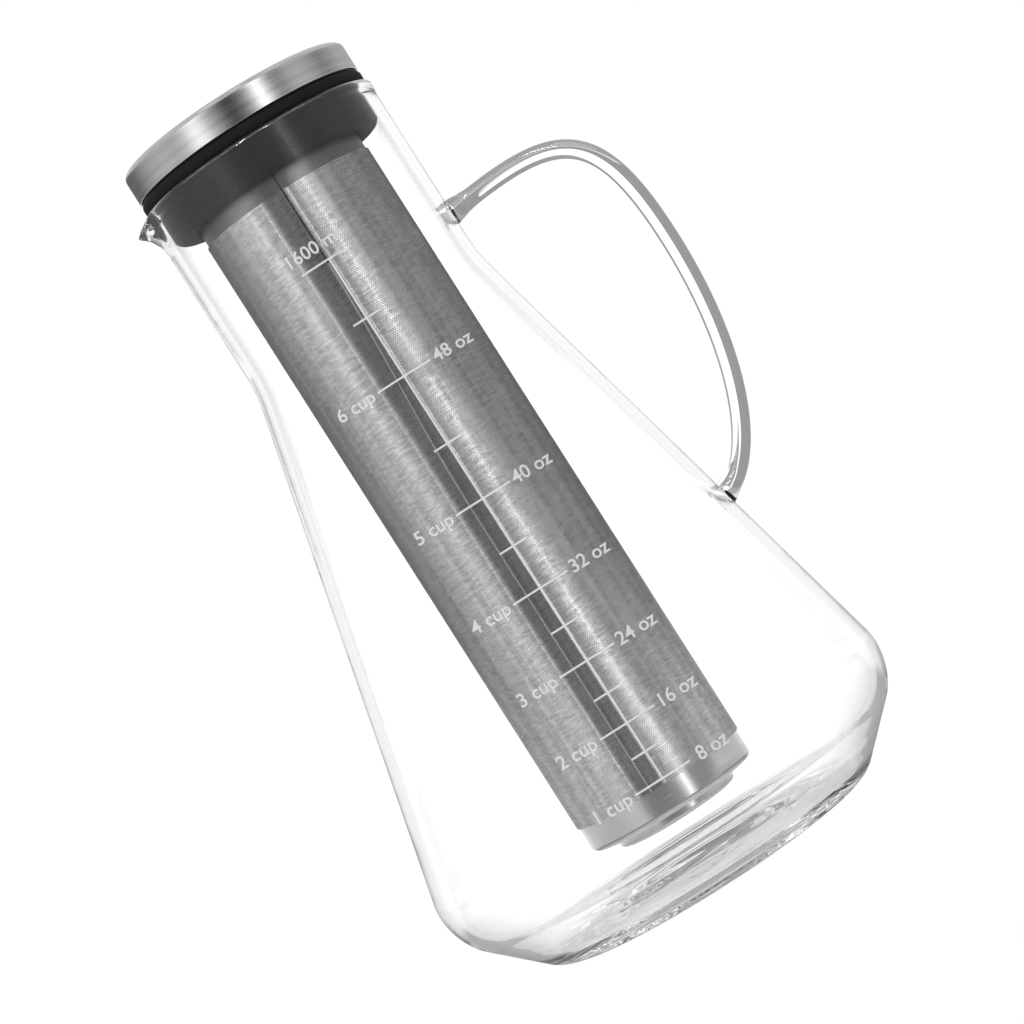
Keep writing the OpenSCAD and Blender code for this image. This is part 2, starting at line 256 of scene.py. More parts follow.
class Wire:
    """A shader socket that takes part in plain arithmetic: each operator adds its Math node."""

    def __init__(self, nodes, socket):
        self.nodes = nodes
        self.socket = socket

    def math(self, operation, first, second=0.0):
        return self.nodes.add("Math", {"operation": operation}, {0: first, 1: second})

    def __add__(self, other):
        return self.math("ADD", self, other)

    def __radd__(self, other):
        return self.math("ADD", other, self)

    def __sub__(self, other):
        return self.math("SUBTRACT", self, other)

    def __rsub__(self, other):
        return self.math("SUBTRACT", other, self)

    def __mul__(self, other):
        return self.math("MULTIPLY", self, other)

    def __rmul__(self, other):
        return self.math("MULTIPLY", other, self)

    def __truediv__(self, other):
        return self.math("DIVIDE", self, other)

    def __abs__(self):
        return self.math("ABSOLUTE", self)

    def __lt__(self, other):
        return self.math("LESS_THAN", self, other)

    def __gt__(self, other):
        return self.math("GREATER_THAN", self, other)

    def of(self, operation, second=0.0):
        """Any other Math operation, such as FRACT or MINIMUM."""
        return self.math(operation, self, second)


class Nodes:
    """A node tree that nodes are added to, each with its settings and its sockets' values or links."""

    def __init__(self, tree):
        self.tree = tree

    def add(self, kind, settings=None, inputs=None, output=0):
        made = self.tree.nodes.new("ShaderNode" + kind)
        for key, value in (settings or {}).items():
            if key == "stops":
                ramp = made.color_ramp.elements
                while len(ramp) < len(value):
                    ramp.new(1.0)
                for stop, (place, shade) in zip(ramp, value):
                    stop.position = place
                    stop.color = grey(shade)
            else:
                setattr(made, key, value)
        for key, value in (inputs or {}).items():
            if isinstance(value, Wire):
                self.tree.links.new(value.socket, made.inputs[key])
            else:
                made.inputs[key].default_value = value
        return Wire(self, made.outputs[output])

    def blend(self, factor, first, second):
        """A mix of two colours."""
        return self.add("Mix", {"data_type": "RGBA"}, {0: factor, 6: first, 7: second}, output=2)

    def split(self, vector):
        """The x, y and z of a vector."""
        return [self.add("SeparateXYZ", None, {0: vector}, output=i) for i in range(3)]

    def point(self):
        """The piece's own coordinates."""
        return self.add("TexCoord", output="Object")

    def place(self):
        """The piece's own coordinates, and their x, y and z."""
        point = self.point()
        return [point] + self.split(point)

    def bearing(self, x, y):
        """Angle round the axis, 0 towards the camera's side and growing towards the handle."""
        return self.add("Math", {"operation": "ARCTAN2"}, {0: x, 1: -1 * y})

    def ease(self, value, limits):
        """0 before the first limit, 1 after the second, eased between them."""
        return self.add("MapRange", {"interpolation_type": "SMOOTHSTEP"},
                        {"Value": value, "From Min": limits[0], "From Max": limits[1]})

    def noise(self, point, scale=1.0, detail=3.0, roughness=0.5):
        return self.add("TexNoise", None,
                        {"Vector": point, "Scale": scale, "Detail": detail, "Roughness": roughness})

    def bump(self, height, strength, distance, over=None):
        """Relief, on top of other relief where there is some."""
        inputs = {"Height": height, "Strength": strength, "Distance": distance}
        if over:
            inputs["Normal"] = over
        return self.add("Bump", None, inputs)

    def stretched(self, point, across, along):
        """Coordinates scaled across the axis and along it, for streaks round or down a turned piece."""
        return self.add("Mapping", None, {"Vector": point, "Scale": (across, across, along)})


def between(first, second, share):
    return first + (second - first) * share


# Tints of a grey, as shares of red, green and blue
GREENISH = 0.995, 1, 0.998
MILKY = 1, 1, 0.98


def grey(level, tint=(1, 1, 1)):
    return (level * tint[0], level * tint[1], level * tint[2], 1)


def finish(name, constants, varying):
    """A material: constants go on the shader's sockets, and varying(nodes) gives what feeds the others."""
    material = bpy.data.materials.new(name)
    material.use_nodes = True
    tree = material.node_tree
    shader = tree.nodes["Principled BSDF"]
    for key, value in constants.items():
        shader.inputs[key].default_value = value
    for key, wire in varying(Nodes(tree)).items():
        tree.links.new(wire.socket, shader.inputs[key])
    return material


def clear_glass():
    """Blown glass: clear with a trace of green, slow ripples, and uneven rings in its floor."""
    def varying(n):
        point, x, y, z = n.place()
        ripple = n.noise(n.stretched(point, across=12, along=60), detail=2.0)
        radius = (x * x + y * y).of("SQRT")
        wander = n.noise(point, scale=14, detail=1.0)
        ring = n.add("CombineXYZ", None, {0: radius * 150, 1: wander * 2})
        rings = n.noise(ring, detail=1.0)
        foot = n.add("MapRange", None, {"Value": z, "From Min": 18 * MM, "From Max": 6 * MM})
        tone = n.noise(point, scale=8)
        return {
            "Base Color": n.blend(tone, grey(0.985, GREENISH), grey(0.995)),
            "Normal": n.bump(0.06 * ripple + 0.5 * foot * rings, strength=1.0, distance=1.0 * MM),
        }
    return finish("clear_glass", {"Roughness": 0.0, "IOR": 1.47, "Transmission Weight": 1.0}, varying)


def fired_enamel():
    """White print, a little uneven in cover."""
    def varying(n):
        point = n.point()
        cover = n.noise(point, scale=900)
        return {
            "Base Color": n.blend(cover, grey(0.78), grey(0.92)),
            "Roughness": 0.35 + 0.2 * cover,
        }
    return finish("fired_enamel", {"Specular IOR Level": 0.4}, varying)


def black_silicone():
    """Satin black silicone with a faint bloom."""
    def varying(n):
        point = n.point()
        bloom = n.noise(point, scale=45, detail=4.0)
        return {
            "Base Color": n.blend(bloom, grey(0.009), grey(0.02)),
            "Roughness": 0.6 + 0.2 * bloom,
        }
    return finish("black_silicone", {"Specular IOR Level": 0.12}, varying)


def etched_steel(tube_r):
    """Rolled sheet with fine staggered holes and slight dents. Painted shade darkens its holes and its lap,
    and a painted highlight runs up its weld, which bends aside and ends in an open slit near the top, painted
    dark as painted shade."""
    first, last = lap_edges(tube_r)

    def varying(n):
        point, x, y, z = n.place()
        across = n.bearing(x, y)
        row = z / (HOLE_PITCH * HOLE_ROWS)
        shift = (row.of("FLOOR") * 0.5).of("FRACT")
        u = (across * (tube_r / HOLE_PITCH) + shift).of("FRACT") - 0.5
        v = row.of("FRACT") - 0.5
        apart = (u * u + v * v).of("SQRT")
        holes = n.ease(apart, HOLE_EDGE)
        lap = (across > first) * (across < last)
        weld = between(WELD_TURN, 0.0, n.ease(z, (WELD_BEND_Z, FILL_Z)))
        doubled = (across > weld) * (across < last)
        weld_glint_and_slit_shade = abs(across - weld) < SLIT_HALF_W / tube_r
        slit = z > FILL_Z
        streaks = n.noise(n.stretched(point, across=300, along=1300), detail=2.0, roughness=0.7)
        stains = n.noise(n.stretched(point, across=60, along=30))
        drawn = n.noise(n.stretched(point, across=420, along=4), detail=2.0)
        shade = 0.46 + 0.5 * (streaks - 0.5) + 0.16 * (stains - 0.5) + 0.5 * (drawn - 0.5)
        # Painted shade: the holes are darker, for the dark inside seen through them, and the lap and the
        # doubled sheet darker still
        shade = shade * (1 - 0.34 * lap) * (1 - 0.12 * doubled) * (1 - 0.55 * holes)
        # Painted highlight along the weld, and painted shade in the open slit above the fill line
        shade = shade + weld_glint_and_slit_shade * (0.3 - 0.55 * slit)
        dents = n.noise(n.stretched(point, across=40, along=14), detail=2.0)
        dented = n.bump(dents, strength=0.3, distance=1.0 * MM)
        return {
            "Base Color": n.add("CombineColor", None, {0: shade, 1: shade, 2: shade}),
            "Roughness": 0.22 + 0.1 * stains + 0.15 * holes,
            "Normal": n.bump(1 - holes, strength=0.08, distance=0.12 * MM, over=dented),
        }
    return finish("etched_steel", {"Metallic": 1.0, "Specular Tint": grey(0.5)}, varying)


def satin_steel(name, dark, light, roughness):
    """Plain pressed steel with fine turning marks. Above the fill line the tube's slit runs on over it as a
    line of painted shade.
    """
    def varying(n):
        point, x, y, z = n.place()
        marks = n.noise(n.stretched(point, across=15, along=2500), detail=4.0)
        clouds = n.noise(point, scale=60)
        # Painted shade: the open slit is painted near black
        slit = (abs(x) < SLIT_HALF_W) * (y < 0) * (z > FILL_Z)
        plain = n.blend(clouds, grey(dark), grey(light))
        return {
            "Base Color": n.blend(slit, plain, grey(0.05)),
            "Roughness": roughness + 0.08 * marks,
            "Normal": n.bump(marks, strength=0.04, distance=0.03 * MM),
        }
    return finish(name, {"Metallic": 1.0}, varying)


def turned_cap_steel():
    """Brushed cap: fine rings from turning, on its side and its top."""
    def varying(n):
        point, x, y, z = n.place()
        radius = (x * x + y * y).of("SQRT")
        wander = n.noise(point, scale=12)
        ring = n.add("CombineXYZ", None, {0: radius * 2600, 1: wander, 2: z * 2600})
        lines = n.noise(ring, detail=5.0, roughness=0.6)
        clouds = n.noise(point, scale=35)
        return {
            "Base Color": n.blend(lines, grey(0.4), grey(0.76)),
            "Roughness": 0.14 + 0.08 * lines + 0.04 * clouds,
            "Normal": n.bump(lines, strength=0.2, distance=0.02 * MM),
        }
    return finish("turned_cap_steel", {"Metallic": 1.0, "Anisotropic": 0.4}, varying)


def black_plastic():
    """Moulded plastic with a fine spark-eroded grain."""
    def varying(n):
        point = n.point()
        grain = n.noise(point, scale=2200)
        tone = n.noise(point, scale=40)
        return {
            "Base Color": n.blend(tone, grey(0.018), grey(0.03)),
            "Roughness": 0.38 + 0.15 * grain,
            "Normal": n.bump(grain, strength=0.2, distance=0.04 * MM),
        }
    return finish("black_plastic", {}, varying)


def pale_silicone():
    """Milky food-grade silicone."""
    def varying(n):
        point = n.point()
        tone = n.noise(point, scale=80)
        return {
            "Base Color": n.blend(tone, grey(0.62, MILKY), grey(0.72, MILKY)),
            "Roughness": 0.4 + 0.15 * tone,
        }
    return finish("pale_silicone", {"Subsurface Weight": 0.2, "Subsurface Scale": 2.0 * MM}, varying)


def dress(piece, material, body, slot, *stands_for):
    """Gives a finished piece its material and its body, and hides the nodes that it stands for. The slot is
    not used.
    """
    piece.data.materials.clear()
    piece.data.materials.append(material)
    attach(piece, body)
    if stands_for:
        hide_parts(*stands_for)
    return piece


# Glass

def glass_profile():
    """Corners of the glass wall: out along the base, up the outside, over the rim and down the inside."""
    outside = [(PUNT_R, 0, 0), (FOOT_R, 0, FOOT_ROUND), (BELLY_R, BELLY_Z, BELLY_ROUND),
               (NECK_R, NECK_Z, SHOULDER_ROUND), (NECK_R, GLASS_H, 0)]
    foot = moved_corner(*outside[0:3], FLOOR_T, WALL)
    belly = moved_corner(*outside[1:4], WALL, WALL)
    shoulder = moved_corner(*outside[2:5], WALL, WALL)
    return [(0, PUNT_H, 0), (PUNT_R * 0.5, PUNT_H * 0.75, 0), (PUNT_R, 0, 0),
            (FOOT_R, 0, FOOT_ROUND, 12), (BELLY_R, BELLY_Z, BELLY_ROUND, 20),
            (NECK_R, NECK_Z, SHOULDER_ROUND, 12), (NECK_R, GLASS_H - 4 * BEAD - WALL, BEAD_BLEND),
            (NECK_R + BEAD, GLASS_H - WALL, BEAD_ROUND), (NECK_R + BEAD, GLASS_H, RIM_ROUND, 8),
            (NECK_R - WALL, GLASS_H, RIM_ROUND, 8),
            (shoulder.x, shoulder.y, SHOULDER_ROUND + WALL, 12), (belly.x, belly.y, BELLY_ROUND - WALL, 20),
            (foot.x, foot.y, FOOT_ROUND - WALL, 12), (0, FLOOR_T, 0)]


def pull_lip(piece):
    """Draws the rim out into the pouring lip: outwards most at the rim, and down at the tip."""
    start = GLASS_H - LIP_DEPTH
    for vertex in piece.data.vertices:
        co = vertex.co
        if co.x < 0 and co.z > start:
            rise = (co.z - start) / LIP_DEPTH
            side = co.y / LIP_HALF_W
            if abs(side) < LIP_SPREAD:
                bell = math.cos(side / LIP_SPREAD * math.pi / 2) ** 2
                co.x -= LIP_REACH * bell * rise ** LIP_FLARE
                co.z -= LIP_DIP * bell * rise ** 2
    piece.data.update()


def handle_curve():
    """The rod's middle line in the side view: two bends that meet at the grip."""
    grip_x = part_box("glass_handle")[1].x - ROD_T / 2
    slope = math.atan2(BELLY_R - NECK_R, NECK_Z - BELLY_Z)
    out = Vector((math.cos(slope), 0, math.sin(slope)))
    wall_r = BELLY_R - (FOOT_Z - BELLY_Z) * math.tan(slope)
    arm = Vector((NECK_R - WELD_SINK, 0, ARM_Z))
    grip = Vector((grip_x, 0, GRIP_Z))
    foot = Vector((wall_r, 0, FOOT_Z)) - WELD_SINK * out
    rise = Vector((math.cos(ARM_RISE), 0, math.sin(ARM_RISE)))
    up = Vector((0, 0, 1))
    return [(arm - ARM_PULL * rise, arm, arm + ARM_PULL * rise),
            (grip + GRIP_PULL_UP * up, grip, grip - GRIP_PULL_DOWN * up),
            (foot + FOOT_PULL * out, foot, foot - FOOT_PULL * out)]


def make_handle():
    """An oval rod along the curve, swollen where it is welded on."""
    deselect()
    bpy.ops.curve.primitive_bezier_circle_add(radius=1)
    oval = bpy.context.object
    for point in oval.data.splines[0].bezier_points:
        for corner in ("co", "handle_left", "handle_right"):
            place = getattr(point, corner)
            setattr(point, corner, Vector((place.x * ROD_W / 2, place.y * ROD_T / 2, 0)))
    oval.data.resolution_u = OVAL_STEPS
    deselect()
    bpy.ops.curve.primitive_bezier_curve_add()
    rod = bpy.context.object
    spline = rod.data.splines[0]
    spline.bezier_points.add(1)
    stations = handle_curve()
    for point, (left, co, right) in zip(spline.bezier_points, stations):
        point.handle_left_type = point.handle_right_type = "FREE"
        point.co, point.handle_left, point.handle_right = co, left, right
    rod.data.twist_mode = "MINIMUM"
    rod.data.resolution_u = ROD_STEPS
    rod.data.bevel_mode = "OBJECT"
    rod.data.bevel_object = oval
    rod.data.use_fill_caps = True
    deselect()
    rod.select_set(True)
    bpy.context.view_layer.objects.active = rod
    bpy.ops.object.convert(target="MESH")
    rod = bpy.context.object
    bpy.data.objects.remove(oval)
    ends = (stations[0][1], stations[2][1])
    reach = WELD_LEN + WELD_SINK
    for vertex in rod.data.vertices:
        for end in ends:
            flat = Vector((vertex.co.x, 0, vertex.co.z))
            near = max(0.0, 1 - (flat - end).length / reach)
            grow = 1 + WELD_SWELL / (ROD_T / 2) * near ** 2
            if near:
                vertex.co.z = end.z + (vertex.co.z - end.z) * grow
                vertex.co.y *= 1 + WELD_SWELL / (ROD_W / 2) * near ** 2
    edit(rod)
    bpy.ops.mesh.select_all(action="SELECT")
    bpy.ops.mesh.remove_doubles(threshold=SEAM_MERGE)
    bpy.ops.mesh.normals_make_consistent(inside=False)
    close_edit()
    return rod


def make_glass():
    """Body and handle, fused as they are in the flame."""
    glass = turn("carafe_glass", glass_profile(), longest=GLASS_CUT)
    pull_lip(glass)
    rod = make_handle()
    deselect()
    glass.select_set(True)
    bpy.context.view_layer.objects.active = glass
    bpy.ops.object.modifier_add(type="BOOLEAN")
    join = glass.modifiers[-1]
    join.operation = "UNION"
    join.solver = "EXACT"
    join.object = rod
    bpy.ops.object.modifier_apply(modifier=join.name)
    bpy.data.objects.remove(rod)
    return smooth(glass, angle=40)


glass = make_glass()
dress(glass, clear_glass(), "carafe", "glass", "glass_body", "glass_handle")

# Printed scale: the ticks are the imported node, and the figures are set beside them
FIGURE_H = 3.7 * MM
FIGURE_SHARE = 0.7
FIGURE_STEPS = 3
FIGURE_WEIGHT = 0.06 * MM
FIGURE_OUT = 15.4 * MM
FILL_WORDS_UP = 4.6 * MM
FILL_WORDS_OUT = -2.5 * MM
PRINT_T = 0.1 * MM
PRINT_GAP = 0.03 * MM
SCALE_TURN = math.radians(1.3)
CUP_OZ = 8
# Only the cup ticks reach this far towards the handle
CUP_TICK_REACH = 7.5 * MM
enamel = fired_enamel()


def glass_radius(z):
    """Outside radius of the glass on its cone or its neck."""
    on_cone = BELLY_R - (z - BELLY_Z) * (BELLY_R - NECK_R) / (NECK_Z - BELLY_Z)
    return max(NECK_R, on_cone)


def figure(words, z, out):
    """One printed word, laid on the glass at a height and a distance beside the rule."""
    deselect()
    bpy.ops.object.text_add()
    piece = bpy.context.object
    piece.data.body = words
    piece.data.size = FIGURE_H / FIGURE_SHARE
    piece.data.offset = FIGURE_WEIGHT
    piece.data.align_x = "CENTER"
    piece.data.align_y = "CENTER"
    piece.data.extrude = PRINT_T / 2
    piece.data.resolution_u = FIGURE_STEPS
    bpy.ops.object.convert(target="MESH")
    piece = bpy.context.object
    for vertex in piece.data.vertices:
        co = vertex.co.copy()
        height = z + co.y
        radius = glass_radius(height)
        angle = SCALE_TURN + math.asin((out + co.x) / radius)
        reach = radius + PRINT_GAP + PRINT_T / 2 + co.z
        vertex.co = (reach * math.sin(angle), -reach * math.cos(angle), height)
    return piece


def cup_heights():
    """Heights of the cup ticks, lowest first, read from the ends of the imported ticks."""
    levels = []
    for z in sorted(v.co.z for v in nodes["scale_print"].data.vertices if v.co.x > CUP_TICK_REACH):
        if levels and z - levels[-1][0] < FIGURE_H:
            levels[-1].append(z)
        else:
            levels.append([z])
    return [(level[0] + level[-1]) / 2 for level in levels]


def make_figures():
    pieces = [figure("1600 ml", FILL_Z + FILL_WORDS_UP, FILL_WORDS_OUT)]
    for i, height in enumerate(cup_heights()):
        pieces.append(figure(f"{i + 1} cup", height, -FIGURE_OUT))
        pieces.append(figure(f"{(i + 1) * CUP_OZ} oz", height, FIGURE_OUT))
    deselect()
    for piece in pieces:
        piece.select_set(True)
    bpy.context.view_layer.objects.active = pieces[0]
    bpy.ops.object.join()
    joined = bpy.context.object
    joined.name = joined.data.name = "scale_figures"
    edit(joined)
    bpy.ops.mesh.select_all(action="SELECT")
    bpy.ops.mesh.remove_doubles(threshold=PRINT_MERGE)
    bpy.ops.mesh.normals_make_consistent(inside=False)
    close_edit()
    return joined


dress(make_figures(), enamel, "carafe", "enamel")
nodes["scale_print"].data.materials.clear()
nodes["scale_print"].data.materials.append(enamel)

# Collar, filter and lid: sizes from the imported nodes
collar_low, collar_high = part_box("silicone_collar")
tube_low, tube_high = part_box("filter_tube")
band_low, band_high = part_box("filter_top_band")
cup_low, cup_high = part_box("filter_base_cup")
cap_low, cap_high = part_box("lid_cap")
core_low, core_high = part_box("lid_core")
seal_low, seal_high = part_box("lid_seal_ring")
# Roundings that several pieces share
FINE_EDGE = 0.2 * MM
THIN_EDGE = 0.3 * MM
SOFT_EDGE = 0.4 * MM
LIP_EDGE = 0.6 * MM
# Collar
FLANGE_Z = GLASS_H + 0.03 * MM
FLANGE_EDGE = 1.5 * MM
SLEEVE_GAP = 0.4 * MM
SLEEVE_R = NECK_R - WALL - SLEEVE_GAP
SLEEVE_CHAMFER = 0.8 * MM
SEAT_DEPTH = 2.2 * MM
SEAT_Z = collar_high.z - SEAT_DEPTH
# Filter
LAP_T = -tube_low.y - tube_high.x
BORE_R = tube_high.x + LAP_T + CLEARANCE
TUBE_CUT = 10.0 * MM
RIM_R = band_high.x
RIM_ROLL = 1.5 * MM
BAND_R = tube_high.x - SHEET - LAP_GAP
MOUTH_R = BAND_R - SHEET
CUP_EDGE = 2.0 * MM
STEP_R = 18.9 * MM
STEP_H = 3.6 * MM
STEP_EDGE = 1.5 * MM
# Lid: the cap with the dish in its top, the plug with its groove, and the seal ring
CAP_T = 0.8 * MM
CAP_EDGE = 1.8 * MM
CAP_MOUTH_EDGE = 0.25 * MM
DISH_DEPTH = 0.15 * MM
DISH_BORDER = 5.0 * MM
DISH_BORDER_DEPTH = 0.1 * MM
DISH_BEND = 8.0 * MM
DISH_LIP = 2.6 * MM
DISH_LIP_BEND = 2.0 * MM
CORE_EDGE = 1.0 * MM
PLUG_GAP = 1.6 * MM
PLUG_R = MOUTH_R - PLUG_GAP
PLUG_EDGE = 1.2 * MM
PLUG_WALL = 3.0 * MM
PLUG_HOLLOW = 1.2 * MM
GROOVE_DEPTH = 1.2 * MM
GROOVE_R = PLUG_R - GROOVE_DEPTH
SEAL_LIP = 1.0 * MM
SEAL_WAIST = 0.5 * MM


def make_collar():
    """Flange on the rim with a rounded edge, and a sleeve with a chamfered end."""
    flange_r = collar_high.x
    top = collar_high.z
    return smooth(turn("silicone_collar_skin", [
        (BORE_R, collar_low.z, THIN_EDGE), (SLEEVE_R - SLEEVE_CHAMFER, collar_low.z, SOFT_EDGE),
        (SLEEVE_R, collar_low.z + SLEEVE_CHAMFER, SOFT_EDGE), (SLEEVE_R, FLANGE_Z, FINE_EDGE),
        (flange_r, FLANGE_Z, FLANGE_EDGE), (flange_r, top, FLANGE_EDGE),
        (RIM_R + CLEARANCE, top, THIN_EDGE), (RIM_R + CLEARANCE, SEAT_Z, 0), (BORE_R, SEAT_Z, FINE_EDGE),
    ], closed=True))


def make_tube():
    """Rolled sheet: a thin tube, with its lap raised on the outside."""
    outer = tube_high.x
    inner = outer - SHEET
    tube = turn("filter_tube_sheet", [
        (inner, tube_low.z, SHEET_EDGE, 2), (outer, tube_low.z, SHEET_EDGE, 2),
        (outer, tube_high.z, SHEET_EDGE, 2), (inner, tube_high.z, SHEET_EDGE, 2),
    ], closed=True, longest=TUBE_CUT, steps=TUBE_STEPS)
    first, last = lap_edges(outer)
    for vertex in tube.data.vertices:
        co = vertex.co
        radius = math.hypot(co.x, co.y)
        if radius > outer - SHEET / 2 and first < math.atan2(co.x, -co.y) < last:
            co.xy *= (radius + LAP_T) / radius
    tube.data.update()
    return smooth(tube)


def make_band():
    """Plain band with a rolled rim that hangs in the collar."""
    top = SEAT_Z + RIM_ROLL
    inner = RIM_R - RIM_ROLL
    nearly_half = RIM_ROLL * 0.48
    return smooth(turn("filter_band_sheet", [
        (MOUTH_R, band_low.z, SHEET_EDGE, 2), (BAND_R, band_low.z, SHEET_EDGE, 2), (BAND_R, SEAT_Z, 0),
        (RIM_R, SEAT_Z, nearly_half), (RIM_R, top, nearly_half), (inner, top, nearly_half),
        (inner, SEAT_Z + SHEET, 0), (MOUTH_R, SEAT_Z + SHEET, THIN_EDGE),
    ], closed=True))


def make_cup():
    """Pressed cup with a rounded edge and a stepped floor."""
    base = cup_low.z
    floor = base + STEP_H
    return smooth(turn("filter_cup_sheet", [
        (0, base, 0), (STEP_R, base, STEP_EDGE), (STEP_R, floor, SOFT_EDGE), (BAND_R, floor, CUP_EDGE),
        (BAND_R, cup_high.z, SHEET_EDGE, 2), (MOUTH_R, cup_high.z, SHEET_EDGE, 2),
        (MOUTH_R, floor + SHEET, CUP_EDGE - SHEET), (STEP_R - SHEET, floor + SHEET, SOFT_EDGE),
        (STEP_R - SHEET, base + SHEET, STEP_EDGE - SHEET), (0, base + SHEET, 0),
    ]))


def make_cap():
    """Steel cap with a rounded top edge and a faint dish in its top."""
    side = cap_high.x
    top = cap_high.z
    inner = side - CAP_T
    return smooth(turn("lid_cap_shell", [
        (0, top - DISH_DEPTH, 0), (side - DISH_BORDER, top - DISH_BORDER_DEPTH, DISH_BEND),
        (side - DISH_LIP, top, DISH_LIP_BEND), (side, top, CAP_EDGE, 10),
        (side, cap_low.z, CAP_MOUTH_EDGE), (inner, cap_low.z, CAP_MOUTH_EDGE),
        (inner, top - CAP_T, CAP_EDGE - CAP_T), (0, top - CAP_T, 0),
    ]))


def make_core():
    """Plastic core: a disc in the cap, and the grooved plug below it."""
    plug_low = core_low.z
    face = collar_high.z
    core_r = core_high.x
    groove_low = seal_low.z - LAP_GAP
    groove_high = seal_high.z + LAP_GAP
    return smooth(turn("lid_core_moulding", [
        (0, plug_low + PLUG_HOLLOW, 0), (PLUG_R - PLUG_WALL, plug_low + PLUG_HOLLOW, LIP_EDGE),
        (PLUG_R - PLUG_WALL, plug_low, SOFT_EDGE), (PLUG_R, plug_low, PLUG_EDGE),
        (PLUG_R, groove_low, FINE_EDGE), (GROOVE_R, groove_low, 0),
        (GROOVE_R, groove_high, 0), (PLUG_R, groove_high, FINE_EDGE), (PLUG_R, face, SOFT_EDGE),
        (core_r, face, THIN_EDGE), (core_r, core_high.z, CORE_EDGE), (0, core_high.z, 0),
    ]))


def make_seal():
    """Seal ring with two lips."""
    outer = seal_high.x
    inner = GROOVE_R + LAP_GAP
    low, high = seal_low.z, seal_high.z
    middle = (low + high) / 2
    return smooth(turn("lid_seal_lips", [
        (inner, low, 0), (outer, low, LIP_EDGE), (outer, low + SEAL_LIP, SOFT_EDGE),
        (outer - SEAL_WAIST, middle, THIN_EDGE), (outer, high - SEAL_LIP, SOFT_EDGE), (outer, high, LIP_EDGE),
        (inner, high, 0),
    ], closed=True))


dress(make_collar(), black_silicone(), "collar", "silicone", "silicone_collar")
dress(make_tube(), etched_steel(tube_high.x), "filter", "perforated_steel", "filter_tube")
# One plain steel in two painted greys: the band is painted darker, as painted shade below the collar, and the
# cup lighter, as painted light
band_steel_painted_shade = satin_steel("band_steel_painted_shade", dark=0.15, light=0.2, roughness=0.28)
cup_steel_painted_light = satin_steel("cup_steel_painted_light", dark=0.34, light=0.43, roughness=0.13)
dress(make_band(), band_steel_painted_shade, "filter", "plain_steel", "filter_top_band")
dress(make_cup(), cup_steel_painted_light, "filter", "plain_steel", "filter_base_cup")
dress(make_cap(), turned_cap_steel(), "lid", "cap_steel", "lid_cap")
dress(make_core(), black_plastic(), "lid", "lid_plastic", "lid_core")
dress(make_seal(), pale_silicone(), "lid", "seal_silicone", "lid_seal_ring")

# Stage: white floor that keeps a soft shadow, white surround, two tall soft boxes
scene = bpy.context.scene
scene.view_settings.view_transform = "Standard"
# Light may turn often inside the thick foot before it leaves
scene.cycles.max_bounces = scene.cycles.transmission_bounces = scene.cycles.glossy_bounces = 64

# Brightness that glass sees, where 1 is white: straight behind it, in the mirror of its face, below the foot,
# overhead, beside the handle behind and in front, and in the walls' edges and their outlines
BEHIND = 1.4
GLEAM = 0.25
BASE_SHADE = 0.7
WALL_TOP = 0.8
ROD_SHADE = 0.32
ROD_FRONT = 0.7
EDGE = 1.1
OUTLINE = 0.46
# Brightness that steel sees: the floor straight below, the brightest soft box, a canopy over the camera
# through glass and in the open, and the sky behind
FLAG = 0.6
BRIGHTEST = 5.0
CANOPY = 2.0
BARE_CANOPY = 0.8
SKY = 0.75
# Brightness that matt pieces see, and that the camera sees in the floor, with the share of it that glows and
# the grey of the rest
AMBIENT = 0.6
FLOOR_WHITE = 1.12
FLOOR_GLOW = 0.86
FLOOR_MATT = 0.85
# What the glass rim mirrors: a share of what steel sees, and the canopy with its lamps, each with its bearing
# and half its width in radians
MIRRORED = 0.3
RIM_GLOW = 2.5
RIM_LAMP = 18.0
RIM_LAMPS = [(-0.17, 0.1), (0.34, 0.05)]

FLOOR_FRONT = -0.3
FLOOR_BACK = 3.0
FLOOR_HALF_W = 0.9
FLOOR_DROP = 0.3 * MM
# Slopes of rays that come down on the floor, as sines, between which a level changes
FLAG_SLOPES = 0.15, 0.3
STRIP_SLOPES = 0.3, 0.2
BASE_SLOPES = 0.45, 0.65
ROD_SLOPES = 0.05, 0.11
EDGE_SLOPES = 0.07, 0.1
CORNER_SLOPES = 0.15, 0.25
# Places on the floor: round the foot, in shares of its radius, the strip in front, and what the handle's arm
# and its lower bend, at ROD_X, look down on
FOOT_RIM = 0.9, 1.15
STRIP_Y = -0.1
ARM_X = 0.13
ARM_SPLAY = 0.2
ARM_Y = 0.15
BEND_X = 0.12
BEND_Y = 0.1
ROD_X = 0.08
# Directions off straight ahead, as tangents, between which a level changes
ROD_TURNS = 0.7, 1.0
ROD_RISES = 0.4, 0.55
ROD_SIDES = -0.1, -0.05
EDGE_SPLAYS = 0.36, 0.26
EDGE_TURNS = 0.15, 0.5
RIM_TURNS = 0.9, 1.1
NECK_LEFT = -0.19, -0.23
NECK_FAR_LEFT = -0.44, -0.38
NECK_RISES = 0.095, 0.11
# Lean of the handle's grip, and the least way ahead that a tangent is taken over, in the sky and on the floor
GRIP_LEAN = math.radians(10.5)
LEAST_AHEAD = 0.05
LEAST_Y = 0.02
# Heights of directions, as sines
CANOPY_LOW = 0.55
CANOPY_TOP = 0.9
SKY_LOW = 0.25
OVERHEAD = 0.35, 0.7


# A ray's counts of crossings through glass and of turns are compared halfway between whole numbers
NONE = 0.5
TWO_AT_MOST = 2.5


def path(n, key):
    """What a ray has done so far."""
    return n.add("LightPath", output=key)


def seen(n):
    """1 for rays that show the background: straight from the camera, off metal, or through glass."""
    kinds = path(n, "Is Camera Ray") + path(n, "Is Glossy Ray") + path(n, "Is Transmission Ray")
    return kinds.of("MINIMUM", 1.0)


